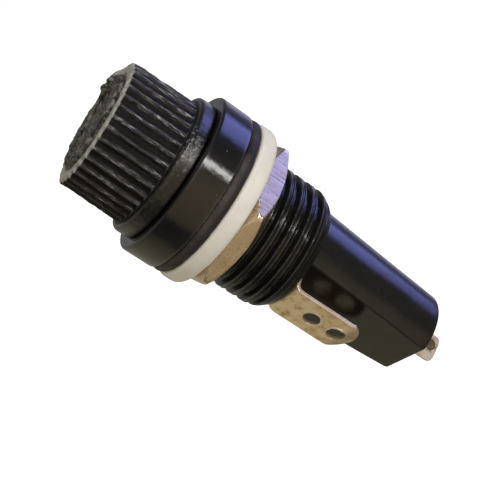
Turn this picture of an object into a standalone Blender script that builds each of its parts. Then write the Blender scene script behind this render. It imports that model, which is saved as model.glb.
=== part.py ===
"""Panel-mounted screw-cap holder for a 5 x 20 mm cartridge fuse.

Frame: metres, +Z along the holder's axis towards the cap, -Y towards the side terminal.
The origin is on the axis, in the plane where the panel's front face meets the gasket.
All dimensions below are millimetres and are scaled once, by MM, when a mesh is made.
"""
import math

import bmesh
import bpy
from mathutils import Matrix, Vector

MM = 0.001
FIT = 0.02                  # gap left between pieces that touch

# ---- moulded body -------------------------------------------------------------------------
GASKET_T = 1.12
FLANGE_R = 8.2
FLANGE_Z0 = GASKET_T + FIT
FLANGE_Z1 = 4.32
FLANGE_ROUND = 0.35
THREAD_R = 6.35             # half-inch external thread, 20 to the inch
THREAD_PITCH = 1.27
THREAD_DEPTH = 0.55
THREAD_CREST = 0.48
THREAD_ROOT_GAP = 0.22
THREAD_END_Z = -10.02
THREAD_PHASE = 52.0         # degrees about Z where a crest passes THREAD_PHASE_Z
THREAD_PHASE_Z = -4.83
CORE_R = THREAD_R - THREAD_DEPTH
BARREL_R0 = 5.21
BARREL_R1 = 4.18
BARREL_END_Z = -24.95
BARREL_ROUND = 0.3
FLAT_Y = 3.1                # flat's distance from the axis
BORE_R = 2.72
END_WALL = 1.6
MOUTH_R = 5.42
MOUTH_Z = 3.46
POCKET_R = 4.78
POCKET_FLOOR_Z = -9.6
FOOT_RECESS_R = 3.95

# ---- contact parts ------------------------------------------------------------------------
SHELL_R = 4.75
SHELL_RIM_R = 5.38
SHELL_BORE_R = 4.62
SHELL_MINOR_R = 4.25
SHELL_THREAD_Z = (-1.5, 2.0)
CAP_PITCH = 1.0
STRIP_T = 0.4
SIDE_W = 4.8
SIDE_FACE = 5.2             # side terminal's outer face, from the axis
SIDE_TIP_Z = -18.62
SIDE_KINK_Z = -16.95
SIDE_KINK = 15.0
SIDE_TIP_R = 2.76
SIDE_HOLES_Z = (-13.95, -16.72)
SIDE_HOLE_R = 1.0
SIDE_BEND = 0.5
FOOT_Z = -10.5
END_W = 2.75
END_SHIFT = 0.3             # strip's middle, off the rivet
END_EYE_SHIFT = 0.58
END_FAR_Y = 1.6
END_TURN = -20.0            # the end terminal is riveted at its own angle
END_TIP_Z = -28.92
END_HOLE_R = 0.6
END_EYE_MARGIN = 0.25       # metal left between the eye and the tip
END_CORNER = 0.6
RIVET_R = 0.75

# ---- fixings ------------------------------------------------------------------------------
WASHER_R = 8.27
WASHER_T = 1.85
RING_BORE_R = 6.48
NUT_FLATS = 14.1
NUT_TURN = 28.0
NUT_Z0 = -WASHER_T - FIT
NUT_Z1 = -3.66
NUT_FRONT_R = 7.3           # chamfer's radius in the nut's front face
NUT_FRONT_GROWTH = 1.15     # and its growth per millimetre of depth
NUT_REAR_R = 7.12
NUT_REAR_GROWTH = 1.45
NUT_THREAD_GAP = 0.12

# ---- cap ----------------------------------------------------------------------------------
COLLAR_R = 7.1
COLLAR_Z0 = 4.42
COLLAR_Z1 = 5.93
KNURL_R0 = 6.42
KNURL_R1 = 6.27
CAP_TOP_Z = 12.4
CAP_CHAMFER = 0.42
CAP_RIBS = 36
RIB_DEPTH = 0.36
RIB_PHASE = 7.8             # degrees about Z to the first groove
RIB_FLOOR_W = 0.32          # groove's width at the bottom
RIB_OPEN_W = 1.9            # and RIB_CLEAR outside the ribs
RIB_CLEAR = 1.2
BOSS_R = 4.75
BOSS_H = 0.42
BOSS_MARKS = 14
SLEEVE_R = 4.55
SLEEVE_TOP_Z = 10.6
SLEEVE_CROWN_T = 0.4
SLEEVE_ROOT_R = 4.1
SLEEVE_BORE_R = 3.6
CLIP_END_Z = -6.5

# ---- fuse ---------------------------------------------------------------------------------
FUSE_R = 2.6
FUSE_REAR_Z = -22.6
FUSE_L = 20.0
FUSE_CAP_L = 5.2
FUSE_CAP_T = 0.22
FUSE_END_T = 0.35
GLASS_R = 2.35
GLASS_BORE_R = 1.85
SPRING_R = 2.05
SPRING_WIRE_R = 0.21
SPRING_TURNS = 8

for old in list(bpy.data.objects):
    bpy.data.objects.remove(old, do_unlink=True)

PARTS = bpy.data.collections.new("fuse_holder")
CUTTERS = bpy.data.collections.new("cutters")
for made in (PARTS, CUTTERS):
    bpy.context.scene.collection.children.link(made)


def material(name, colour, metallic, roughness, alpha=1.0):
    made = bpy.data.materials.new(name)
    made.use_nodes = True
    shader = made.node_tree.nodes["Principled BSDF"]
    shader.inputs["Base Color"].default_value = (*colour, 1.0)
    shader.inputs["Metallic"].default_value = metallic
    shader.inputs["Roughness"].default_value = roughness
    shader.inputs["Alpha"].default_value = alpha
    return made


def add_object(name, mesh, finish=None):
    made = bpy.data.objects.new(name, mesh)
    if finish is None:
        CUTTERS.objects.link(made)
        made.hide_render = True
        made.display_type = "WIRE"
    else:
        PARTS.objects.link(made)
        mesh.materials.append(finish)
    return made


def add_bmesh(name, bm, finish=None):
    bmesh.ops.recalc_face_normals(bm, faces=bm.faces)
    mesh = bpy.data.meshes.new(name)
    bm.to_mesh(mesh)
    bm.free()
    return add_object(name, mesh, finish)


def turned(name, outline, segments, finish=None):
    """A solid of revolution about Z from a closed outline of (radius, height) points."""
    ends = zip(outline, outline[1:] + outline[:1])
    if sum(a[0] * b[1] - b[0] * a[1] for a, b in ends) > 0:
        outline = outline[::-1]     # the outer side has to run downwards
    count = len(outline)
    edges = [(i, (i + 1) % count) for i in range(count)]
    edges = [e for e in edges if outline[e[0]][0] > 0 or outline[e[1]][0] > 0]
    mesh = bpy.data.meshes.new(name)
    mesh.from_pydata([(r * MM, 0.0, z * MM) for r, z in outline], edges, [])
    made = add_object(name, mesh, finish)
    screw = made.modifiers.new("turn", "SCREW")
    screw.axis = "Z"
    screw.steps = segments
    screw.render_steps = segments
    screw.use_merge_vertices = True
    screw.merge_threshold = 0.000001
    return made


def arc(centre, radius, start, end, count):
    """Points on an arc in the outline's plane, from start to end degrees."""
    spots = []
    for i in range(count + 1):
        a = math.radians(start + (end - start) * i / count)
        spots.append((centre[0] + radius * math.cos(a), centre[1] + radius * math.sin(a)))
    return spots


def box(name, low, high, finish=None, turn=0.0):
    bm = bmesh.new()
    bmesh.ops.create_cube(bm, size=1.0)
    size = [(b - a) * MM for a, b in zip(low, high)]
    middle = Vector([(a + b) / 2 * MM for a, b in zip(low, high)])
    place = Matrix.Rotation(math.radians(turn), 4, "Z") @ Matrix.Translation(middle)
    bmesh.ops.transform(bm, matrix=place @ Matrix.Diagonal((*size, 1.0)), verts=bm.verts)
    return add_bmesh(name, bm, finish)


def cylinder(name, radius, start, end, segments, finish=None):
    """A round bar between two points."""
    start, end = Vector(start) * MM, Vector(end) * MM
    bm = bmesh.new()
    bmesh.ops.create_cone(bm, cap_ends=True, segments=segments, radius1=radius * MM,
                          radius2=radius * MM, depth=(end - start).length)
    aim = Vector((0, 0, 1)).rotation_difference(end - start).to_matrix().to_4x4()
    bmesh.ops.transform(bm, matrix=Matrix.Translation((start + end) / 2) @ aim, verts=bm.verts)
    return add_bmesh(name, bm, finish)


def helix(name, section, pitch, turns, steps_per_turn, start_turn, start_z, finish=None):
    """Sweeps a closed (radius, height) section up a right-hand helix into a closed solid."""
    steps = round(turns * steps_per_turn)
    bm = bmesh.new()
    corners = [bm.verts.new((r * MM, 0.0, (z + start_z) * MM)) for r, z in section]
    bm.faces.new(corners)
    bmesh.ops.rotate(bm, cent=(0, 0, 0), verts=bm.verts,
                     matrix=Matrix.Rotation(math.radians(start_turn), 3, "Z"))
    bmesh.ops.spin(bm, geom=list(bm.verts) + list(bm.edges) + list(bm.faces),
                   cent=(0, 0, 0), axis=(0, 0, 1), dvec=(0, 0, pitch * MM / steps_per_turn),
                   angle=math.radians(360.0 * steps / steps_per_turn), steps=steps,
                   use_duplicate=False)
    return add_bmesh(name, bm, finish)


def thread_section(crest_r, base_r, root_r, crest, base):
    """A symmetrical ridge: crest wide at crest_r, base wide at base_r and on down to root_r."""
    return [(root_r, -base / 2), (base_r, -base / 2), (crest_r, -crest / 2),
            (crest_r, crest / 2), (base_r, base / 2), (root_r, base / 2)]


def join(target, operation, cutter):
    step = target.modifiers.new(operation.lower(), "BOOLEAN")
    step.solver = "EXACT"
    step.operation = operation
    step.object = cutter
    return target


def strip(name, path, width, shift=0.0, finish=None):
    """A flat strip of STRIP_T metal, bent along a path of (y, z) points on one of its faces."""
    bm = bmesh.new()
    left = [bm.verts.new(((shift - width / 2) * MM, y * MM, z * MM)) for y, z in path]
    right = [bm.verts.new(((shift + width / 2) * MM, y * MM, z * MM)) for y, z in path]
    for i in range(len(path) - 1):
        bm.faces.new((left[i], right[i], right[i + 1], left[i + 1]))
    mesh = bpy.data.meshes.new(name)
    bm.to_mesh(mesh)
    bm.free()
    made = add_object(name, mesh, finish)
    gauge = made.modifiers.new("gauge", "SOLIDIFY")
    gauge.thickness = STRIP_T * MM
    gauge.offset = -1.0
    gauge.use_even_offset = True
    return made


def plate(name, outline, depth):
    """A plate with an (x, z) outline, centred on the XZ plane and depth thick along Y."""
    bm = bmesh.new()
    rim = [bm.verts.new((x * MM, -depth / 2 * MM, z * MM)) for x, z in outline]
    face = bm.faces.new(rim)
    grown = bmesh.ops.extrude_face_region(bm, geom=[face])
    moved = [v for v in grown["geom"] if isinstance(v, bmesh.types.BMVert)]
    bmesh.ops.translate(bm, verts=moved, vec=(0, depth * MM, 0))
    return add_bmesh(name, bm)


def ring_of(name, low, high, count, start, finish=None):
    """One mesh of equal boxes spaced round Z, low and high being the corners of the first."""
    bm = bmesh.new()
    size = [(b - a) * MM for a, b in zip(low, high)]
    middle = Matrix.Translation([(a + b) / 2 * MM for a, b in zip(low, high)])
    for i in range(count):
        turn = Matrix.Rotation(math.radians(start + 360.0 * i / count), 4, "Z")
        bmesh.ops.create_cube(bm, size=1.0, matrix=turn @ middle @ Matrix.Diagonal((*size, 1.0)))
    return add_bmesh(name, bm, finish)


black = material("black_phenolic", (0.022, 0.02, 0.018), 0.0, 0.38)
rubber = material("black_rubber", (0.03, 0.028, 0.026), 0.0, 0.8)
nylon = material("white_nylon", (0.82, 0.79, 0.72), 0.0, 0.45)
nickel = material("nickel_plate", (0.72, 0.67, 0.58), 1.0, 0.28)
brass = material("tinned_brass", (0.66, 0.55, 0.36), 1.0, 0.4)
tin = material("tin_plate", (0.78, 0.74, 0.64), 1.0, 0.42)
spring_steel = material("spring_steel", (0.6, 0.6, 0.6), 1.0, 0.3)
glass = material("fuse_glass", (0.9, 0.95, 0.93), 0.0, 0.05, 0.35)
wire = material("fuse_wire", (0.75, 0.72, 0.68), 1.0, 0.3)

# ---- holder body --------------------------------------------------------------------------
bore_floor = BARREL_END_Z + END_WALL
body_outline = [(MOUTH_R + 0.25, FLANGE_Z1)]
body_outline += arc((FLANGE_R - FLANGE_ROUND, FLANGE_Z1 - FLANGE_ROUND), FLANGE_ROUND, 90, 0, 4)
body_outline += [(FLANGE_R, FLANGE_Z0 + 0.12), (FLANGE_R - 0.12, FLANGE_Z0),
                 (CORE_R, FLANGE_Z0), (CORE_R, THREAD_END_Z), (BARREL_R0, THREAD_END_Z),
                 (BARREL_R1, BARREL_END_Z + BARREL_ROUND),
                 (BARREL_R1 - 0.09, BARREL_END_Z + 0.09),
                 (BARREL_R1 - BARREL_ROUND, BARREL_END_Z), (RIVET_R + 0.05, BARREL_END_Z),
                 (RIVET_R + 0.05, bore_floor), (BORE_R, bore_floor), (BORE_R, FOOT_Z - FIT),
                 (FOOT_RECESS_R, FOOT_Z - FIT), (FOOT_RECESS_R, POCKET_FLOOR_Z),
                 (POCKET_R, POCKET_FLOOR_Z), (POCKET_R, MOUTH_Z), (MOUTH_R, MOUTH_Z),
                 (MOUTH_R, FLANGE_Z1 - 0.25)]
holder_body = turned("holder_body", body_outline, 36, black)

ridge_steps = 20
ridge_turns = 9
ridge_start = THREAD_PHASE_Z - 5 * THREAD_PITCH
ridge_base = THREAD_PITCH - THREAD_ROOT_GAP
flank = (ridge_base - THREAD_CREST) / THREAD_DEPTH
ridge = thread_section(THREAD_R, CORE_R, CORE_R - 0.25, THREAD_CREST, ridge_base)
thread_ridge = helix("thread_ridge", ridge, THREAD_PITCH, ridge_turns, ridge_steps,
                     THREAD_PHASE, ridge_start)
join(holder_body, "UNION", thread_ridge)
end_trim = turned("thread_end_trim", [(THREAD_R + 0.05, THREAD_END_Z + 1.6),
                                      (THREAD_R - 0.3, THREAD_END_Z + 0.75),
                                      (CORE_R - 0.38, THREAD_END_Z + 0.006),
                                      (CORE_R - 0.38, ridge_start - 1.0),
                                      (THREAD_R + 1.0, ridge_start - 1.0),
                                      (THREAD_R + 1.0, THREAD_END_Z + 1.6)], 44)
join(holder_body, "DIFFERENCE", end_trim)
flat_cut = box("flat_cut", (-9, -9, BARREL_END_Z - 1), (9, -FLAT_Y, THREAD_END_Z))
join(holder_body, "DIFFERENCE", flat_cut)

# ---- gasket, washer and nut ---------------------------------------------------------------
gasket_outline = [(RING_BORE_R, 0.0), (RING_BORE_R, GASKET_T), (FLANGE_R - 0.25, GASKET_T)]
gasket_outline += arc((FLANGE_R - 0.5, GASKET_T / 2), 0.5, 55, -55, 5)
gasket_outline += [(FLANGE_R - 0.25, 0.0)]
turned("sealing_gasket", gasket_outline, 40, rubber)
washer_outline = [(RING_BORE_R, -WASHER_T), (RING_BORE_R, -FIT), (WASHER_R - 0.12, -FIT),
                  (WASHER_R, -0.14)]
washer_outline += arc((WASHER_R - 0.45, -WASHER_T + 0.45), 0.45, 0, -90, 4)
turned("panel_washer", washer_outline, 40, nylon)

nut_corner_r = NUT_FLATS / math.sqrt(3)
nut_middle = (NUT_Z0 + NUT_Z1) / 2
bm = bmesh.new()
bmesh.ops.create_cone(bm, cap_ends=True, segments=6, radius1=nut_corner_r * MM,
                      radius2=nut_corner_r * MM, depth=(NUT_Z0 - NUT_Z1) * MM)
bmesh.ops.transform(bm, verts=bm.verts, matrix=Matrix.Translation((0, 0, nut_middle * MM))
                    @ Matrix.Rotation(math.radians(NUT_TURN - 90), 4, "Z"))
hex_nut = add_bmesh("hex_nut", bm, nickel)
apex_z = (NUT_FRONT_R - NUT_REAR_R + NUT_FRONT_GROWTH * NUT_Z0
          + NUT_REAR_GROWTH * NUT_Z1) / (NUT_FRONT_GROWTH + NUT_REAR_GROWTH)
apex_r = NUT_REAR_R + NUT_REAR_GROWTH * (apex_z - NUT_Z1)
nut_form = turned("nut_chamfer", [(0, NUT_Z1 - 0.01), (NUT_REAR_R - 0.0145, NUT_Z1 - 0.01),
                                  (apex_r, apex_z), (NUT_FRONT_R - 0.0115, NUT_Z0 + 0.01),
                                  (0, NUT_Z0 + 0.01)], 48)
join(hex_nut, "INTERSECT", nut_form)
nut_bore_r = CORE_R + NUT_THREAD_GAP
join(hex_nut, "DIFFERENCE",
     cylinder("nut_bore", nut_bore_r, (0, 0, NUT_Z1 - 1), (0, 0, NUT_Z0 + 1), 44))
groove_base = THREAD_CREST + flank * (THREAD_R - nut_bore_r) + 2 * NUT_THREAD_GAP
groove = thread_section(THREAD_R + NUT_THREAD_GAP, nut_bore_r, nut_bore_r - 0.3,
                        THREAD_CREST + 2 * NUT_THREAD_GAP - 0.06, groove_base)
join(hex_nut, "DIFFERENCE", helix("nut_thread_groove", groove, THREAD_PITCH, 4, ridge_steps,
                                  THREAD_PHASE, ridge_start + 4 * THREAD_PITCH))

# ---- threaded contact shell ---------------------------------------------------------------
shell_low, shell_high = SHELL_THREAD_Z
contact_shell = turned("contact_shell", [
    (SHELL_BORE_R, MOUTH_Z + 0.42), (SHELL_RIM_R, MOUTH_Z + 0.42), (SHELL_RIM_R, MOUTH_Z + FIT),
    (SHELL_R, MOUTH_Z + FIT), (SHELL_R, POCKET_FLOOR_Z + FIT), (3.05, POCKET_FLOOR_Z + FIT),
    (3.05, FOOT_Z + STRIP_T + FIT), (BORE_R + 0.03, FOOT_Z + STRIP_T + FIT),
    (BORE_R + 0.03, POCKET_FLOOR_Z + 0.42), (SHELL_MINOR_R + 0.1, POCKET_FLOOR_Z + 0.42),
    (SHELL_MINOR_R, shell_low), (SHELL_MINOR_R, shell_high - 0.25),
    (SHELL_BORE_R, shell_high + 0.1)], 24, nickel)
female = thread_section(SHELL_MINOR_R + 0.33, SHELL_MINOR_R, SHELL_MINOR_R - 0.2, 0.42, 0.7)
join(contact_shell, "DIFFERENCE", helix("shell_thread_groove", female, CAP_PITCH, 4.5, 20, 4.0,
                                        shell_low - 0.75))

# ---- side terminal: a ring foot with a bent, drilled tongue -------------------------------
inner_y = SIDE_FACE - STRIP_T
tongue = [(-1.0, FOOT_Z)]
tongue += arc((-(inner_y - SIDE_BEND), FOOT_Z - SIDE_BEND), SIDE_BEND, 90, 180, 5)
tip_run = SIDE_KINK_Z - SIDE_TIP_Z + 0.6
tongue += [(-inner_y, SIDE_KINK_Z),
           (-inner_y + tip_run * math.sin(math.radians(SIDE_KINK)),
            SIDE_KINK_Z - tip_run * math.cos(math.radians(SIDE_KINK)))]
side_terminal = strip("side_terminal", tongue, SIDE_W, finish=brass)
foot_hole_r = BORE_R + 0.05
join(side_terminal, "UNION", turned("side_terminal_foot", [
    (foot_hole_r - 0.4, FOOT_Z + 0.02), (foot_hole_r - 0.4, FOOT_Z + STRIP_T - 0.02),
    (FOOT_RECESS_R - 0.05, FOOT_Z + STRIP_T - 0.02), (FOOT_RECESS_R - 0.05, FOOT_Z + 0.02)], 40))
join(side_terminal, "DIFFERENCE", cylinder("side_terminal_bore", foot_hole_r,
                                           (0, 0, FOOT_Z - 1), (0, 0, FOOT_Z + 1), 36))
half = math.degrees(math.asin(SIDE_W / 2 / SIDE_TIP_R))
tip_outline = arc((0, SIDE_TIP_Z + SIDE_TIP_R), SIDE_TIP_R, -90 - half, -90 + half, 12)
tip_outline = [(-SIDE_W, FOOT_Z + 1), (-SIDE_W, tip_outline[0][1])] + tip_outline
tip_outline += [(SIDE_W, tip_outline[-1][1]), (SIDE_W, FOOT_Z + 1)]
join(side_terminal, "INTERSECT", plate("side_terminal_tip", tip_outline, 14.0))
for index, hole_z in enumerate(SIDE_HOLES_Z):
    join(side_terminal, "DIFFERENCE",
         cylinder(f"side_terminal_hole_{index + 1}", SIDE_HOLE_R, (0, -7, hole_z),
                  (0, -3.2, hole_z), 24))

# ---- end contact, rivet and end terminal --------------------------------------------------
turned("end_contact", [(RIVET_R + 0.05, bore_floor + FIT), (RIVET_R + 0.05, bore_floor + 0.32),
                       (1.9, bore_floor + 0.32), (1.95, FUSE_REAR_Z - FIT),
                       (BORE_R - 0.17, FUSE_REAR_Z - FIT), (BORE_R - 0.17, bore_floor + FIT)],
       24, nickel)
foot_low = BARREL_END_Z - FIT - STRIP_T
turned("end_rivet", [(0, FUSE_REAR_Z - 0.05), (1.2, FUSE_REAR_Z - 0.05),
                     (1.35, bore_floor + 0.34), (RIVET_R, bore_floor + 0.34),
                     (RIVET_R, foot_low - FIT), (1.1, foot_low - FIT), (1.0, foot_low - 0.3),
                     (0.6, foot_low - 0.42), (0, foot_low - 0.44)], 24, nickel)
upright = [(-1.9, BARREL_END_Z - FIT)]
upright += arc((END_FAR_Y - 0.6, BARREL_END_Z - FIT - 0.6), 0.6, 90, 0, 5)
upright += [(END_FAR_Y, END_TIP_Z)]
end_terminal = strip("end_terminal", upright, END_W, END_SHIFT, tin)
end_low, end_high = END_SHIFT - END_W / 2, END_SHIFT + END_W / 2
corner = END_CORNER
end_outline = [(end_high + 1, BARREL_END_Z + 1), (end_low - 1, BARREL_END_Z + 1),
               (end_low - 1, END_TIP_Z + corner)]
end_outline += arc((end_low + corner, END_TIP_Z + corner), corner, 180, 270, 5)
end_outline += arc((end_high - corner, END_TIP_Z + corner), corner, 270, 360, 5)
end_outline += [(end_high + 1, END_TIP_Z + corner)]
join(end_terminal, "INTERSECT", plate("end_terminal_outline", end_outline, 8.0))
join(end_terminal, "DIFFERENCE",
     cylinder("end_terminal_eye", END_HOLE_R,
              (END_EYE_SHIFT, 0.3, END_TIP_Z + END_HOLE_R + END_EYE_MARGIN),
              (END_EYE_SHIFT, 3.0, END_TIP_Z + END_HOLE_R + END_EYE_MARGIN), 24))
join(end_terminal, "DIFFERENCE",
     cylinder("end_terminal_rivet_hole", RIVET_R + 0.05, (0, 0, foot_low - 1),
              (0, 0, foot_low + 1), 24))
end_terminal.rotation_euler = (0, 0, math.radians(90 + END_TURN))
for name in ("end_terminal_outline", "end_terminal_eye", "end_terminal_rivet_hole"):
    bpy.data.objects[name].rotation_euler = end_terminal.rotation_euler

# ---- fuse ---------------------------------------------------------------------------------
fuse_front = FUSE_REAR_Z + FUSE_L
glass_gap = FUSE_END_T + 0.03
turned("fuse_tube", [(GLASS_BORE_R, fuse_front - glass_gap), (GLASS_R, fuse_front - glass_gap),
                     (GLASS_R, FUSE_REAR_Z + glass_gap),
                     (GLASS_BORE_R, FUSE_REAR_Z + glass_gap)], 24, glass)
for name, end_z, way in (("fuse_cap_front", fuse_front, -1), ("fuse_cap_rear", FUSE_REAR_Z, 1)):
    turned(name, [(0, end_z), (FUSE_R - 0.12, end_z), (FUSE_R, end_z + 0.12 * way),
                  (FUSE_R, end_z + FUSE_CAP_L * way),
                  (FUSE_R - FUSE_CAP_T, end_z + FUSE_CAP_L * way),
                  (FUSE_R - FUSE_CAP_T, end_z + FUSE_END_T * way),
                  (0, end_z + FUSE_END_T * way)], 24, nickel)
cylinder("fuse_element", 0.08, (0, 0, FUSE_REAR_Z + FUSE_END_T + FIT),
         (0, 0, fuse_front - FUSE_END_T - FIT), 8, wire)

# ---- sprung contact in the cap ------------------------------------------------------------
seat_z = fuse_front + 1.15
turned("contact_plunger", [(0, fuse_front + FIT), (2.3, fuse_front + FIT),
                           (2.45, fuse_front + 0.17), (2.45, seat_z), (1.6, seat_z),
                           (1.55, seat_z + 1.0), (1.25, seat_z + 1.3), (0, seat_z + 1.3)],
       24, nickel)
spring_low = seat_z + FIT + SPRING_WIRE_R
spring_high = SLEEVE_TOP_Z - SLEEVE_CROWN_T - FIT - SPRING_WIRE_R
coil = [(SPRING_R + SPRING_WIRE_R * math.cos(math.radians(72 * i)),
         SPRING_WIRE_R * math.sin(math.radians(72 * i))) for i in range(5)]
helix("cap_spring", coil, (spring_high - spring_low) / SPRING_TURNS, SPRING_TURNS, 14, 0.0,
      spring_low, spring_steel)

# ---- cap sleeve ---------------------------------------------------------------------------
cap_sleeve = turned("cap_sleeve", [
    (0, SLEEVE_TOP_Z), (SLEEVE_R - 0.15, SLEEVE_TOP_Z), (SLEEVE_R, SLEEVE_TOP_Z - 0.15),
    (SLEEVE_R, COLLAR_Z0 + 0.03), (SLEEVE_ROOT_R, COLLAR_Z0 - 0.2),
    (SLEEVE_ROOT_R, shell_low - 0.3), (SLEEVE_ROOT_R - 0.2, shell_low - 0.55),
    (3.0, shell_low - 0.8), (2.96, CLIP_END_Z), (2.7, CLIP_END_Z), (2.68, shell_low - 0.45),
    (SLEEVE_BORE_R, shell_low - 0.25), (SLEEVE_BORE_R, SLEEVE_TOP_Z - SLEEVE_CROWN_T),
    (0, SLEEVE_TOP_Z - SLEEVE_CROWN_T)], 24, nickel)
male = thread_section(SLEEVE_ROOT_R + 0.35, SLEEVE_ROOT_R, SLEEVE_ROOT_R - 0.15, 0.3, 0.62)
join(cap_sleeve, "UNION", helix("sleeve_thread_ridge", male, CAP_PITCH, 3, 20, 4.0,
                                shell_low + 0.25))
for index in range(2):
    join(cap_sleeve, "DIFFERENCE",
         box(f"clip_slot_{index + 1}", (-4, -0.25, CLIP_END_Z - 1), (4, 0.25, shell_low - 1.1),
             turn=45.0 + 90.0 * index))

# ---- knurled cap --------------------------------------------------------------------------
rim_z = CAP_TOP_Z
cap_outline = [(SLEEVE_R + 0.03, COLLAR_Z0)]
cap_outline += arc((COLLAR_R - 0.3, COLLAR_Z0 + 0.3), 0.3, -90, 0, 2)
cap_outline += arc((COLLAR_R - 0.35, COLLAR_Z1 - 0.35), 0.35, 0, 90, 2)
cap_outline += [(KNURL_R0, COLLAR_Z1), (KNURL_R1, rim_z - CAP_CHAMFER),
                (KNURL_R1 - 0.12, rim_z - 0.12), (KNURL_R1 - CAP_CHAMFER, rim_z),
                (BOSS_R + 0.1, rim_z), (BOSS_R, rim_z + BOSS_H - 0.1),
                (BOSS_R - 0.1, rim_z + BOSS_H), (BOSS_R - 1.3, rim_z + BOSS_H),
                (BOSS_R - 1.5, rim_z + 0.1), (0, rim_z + 0.05), (0, SLEEVE_TOP_Z + FIT),
                (SLEEVE_R + 0.03, SLEEVE_TOP_Z + FIT)]
cap_shell = turned("cap_shell", cap_outline, 72, black)
bm = bmesh.new()
for index in range(CAP_RIBS):
    rings = []
    for z, r in ((COLLAR_Z1 + 0.22, KNURL_R0), (rim_z + 0.6, KNURL_R1)):
        inner, outer = r - RIB_DEPTH, r + RIB_CLEAR
        section = ((inner, -RIB_FLOOR_W / 2), (inner, RIB_FLOOR_W / 2),
                   (outer, RIB_OPEN_W / 2), (outer, -RIB_OPEN_W / 2))
        rings.append([bm.verts.new((x * MM, y * MM, z * MM)) for x, y in section])
    sides = [(a, (a + 1) % 4) for a in range(4)]
    made = [bm.faces.new((rings[0][a], rings[0][b], rings[1][b], rings[1][a])) for a, b in sides]
    made += [bm.faces.new(rings[0][::-1]), bm.faces.new(rings[1])]
    turn = Matrix.Rotation(math.radians(RIB_PHASE + 360.0 * index / CAP_RIBS), 3, "Z")
    bmesh.ops.rotate(bm, cent=(0, 0, 0), matrix=turn, verts=rings[0] + rings[1])
join(cap_shell, "DIFFERENCE", add_bmesh("knurl_grooves", bm))
marks = ring_of("cap_marks", (BOSS_R - 1.05, -0.22, rim_z + 0.1),
                (BOSS_R - 0.25, 0.22, rim_z + BOSS_H + 0.14), BOSS_MARKS, 6.0)
join(cap_shell, "UNION", marks)
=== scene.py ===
"""Looks for the panel-mounted cartridge fuse holder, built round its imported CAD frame.

Shapes are worked out in millimetres in the CAD frame (+Z towards the cap, -Y towards the
side terminal) and scaled by MM when a mesh is made.
"""
import functools
import itertools
import math

import bmesh
import bpy
import numpy as np
from mathutils import Matrix, Vector


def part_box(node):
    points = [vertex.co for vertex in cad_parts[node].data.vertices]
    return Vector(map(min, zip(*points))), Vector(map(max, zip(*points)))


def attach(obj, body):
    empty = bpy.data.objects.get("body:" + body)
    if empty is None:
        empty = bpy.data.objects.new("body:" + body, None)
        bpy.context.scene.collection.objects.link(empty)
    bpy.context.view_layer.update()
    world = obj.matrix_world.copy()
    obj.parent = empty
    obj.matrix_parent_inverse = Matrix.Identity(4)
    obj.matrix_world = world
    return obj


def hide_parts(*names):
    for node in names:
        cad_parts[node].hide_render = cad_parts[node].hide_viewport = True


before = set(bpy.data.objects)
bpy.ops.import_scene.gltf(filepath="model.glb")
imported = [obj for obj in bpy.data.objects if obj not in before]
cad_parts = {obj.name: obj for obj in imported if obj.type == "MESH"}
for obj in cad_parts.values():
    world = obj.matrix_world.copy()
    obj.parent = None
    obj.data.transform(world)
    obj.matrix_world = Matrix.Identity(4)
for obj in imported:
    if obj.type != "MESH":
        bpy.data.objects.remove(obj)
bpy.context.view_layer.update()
scene = bpy.context.scene

MM = 0.001
TURN = 2 * math.pi
SHORTEST_EDGE = 0.0005      # left by a cut, in millimetres


def ends(node):
    """The lowest and highest Z of a CAD node in millimetres."""
    low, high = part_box(node)
    return low[2] / MM, high[2] / MM


body_low, body_high = ends("holder_body")
gasket_high = ends("sealing_gasket")[1]
washer_low, washer_high = ends("panel_washer")
nut_low, nut_high = ends("hex_nut")
cap_low = ends("cap_shell")[0]
sleeve_low, sleeve_high = ends("cap_sleeve")
shell_high = ends("contact_shell")[1]
side_low = ends("side_terminal")[0]
end_low = ends("end_terminal")[0]
spring_low, spring_high = ends("cap_spring")
plunger_low, plunger_high = ends("contact_plunger")
rivet_low, rivet_high = ends("end_rivet")
fuse_low, fuse_high = ends("fuse_cap_rear")[0], ends("fuse_cap_front")[1]


def stand(name, data):
    made = bpy.data.objects.new(name, data)
    scene.collection.objects.link(made)
    return made


# ---- camera ----
CAMERA_AT = Vector((75.387, -61.227, 25.197)) * MM
CAMERA_AIM = Vector((-1.182, -1.516, -6.117)) * MM
CAMERA_ROLL = math.radians(-56.507)

to_camera = Vector((0.788, -0.615, 0.0)).normalized()   # square to the axis, camera side
to_window = Vector((0.615, 0.788, 0.0)).normalized()    # square to the axis, window side

camera = stand("camera", bpy.data.cameras.new("camera"))
camera.data.sensor_width = 36.0
camera.data.lens = 78.44
camera.data.clip_start = 0.005
camera.data.clip_end = 20.0
camera.location = CAMERA_AT
aim = (CAMERA_AIM - CAMERA_AT).to_track_quat("-Z", "Y").to_matrix()
camera.rotation_mode = "QUATERNION"
camera.rotation_quaternion = (aim @ Matrix.Rotation(CAMERA_ROLL, 3, "Z")).to_quaternion()
bpy.context.scene.camera = camera
scene.view_settings.view_transform = "Standard"
scene.view_settings.look = "None"


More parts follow.
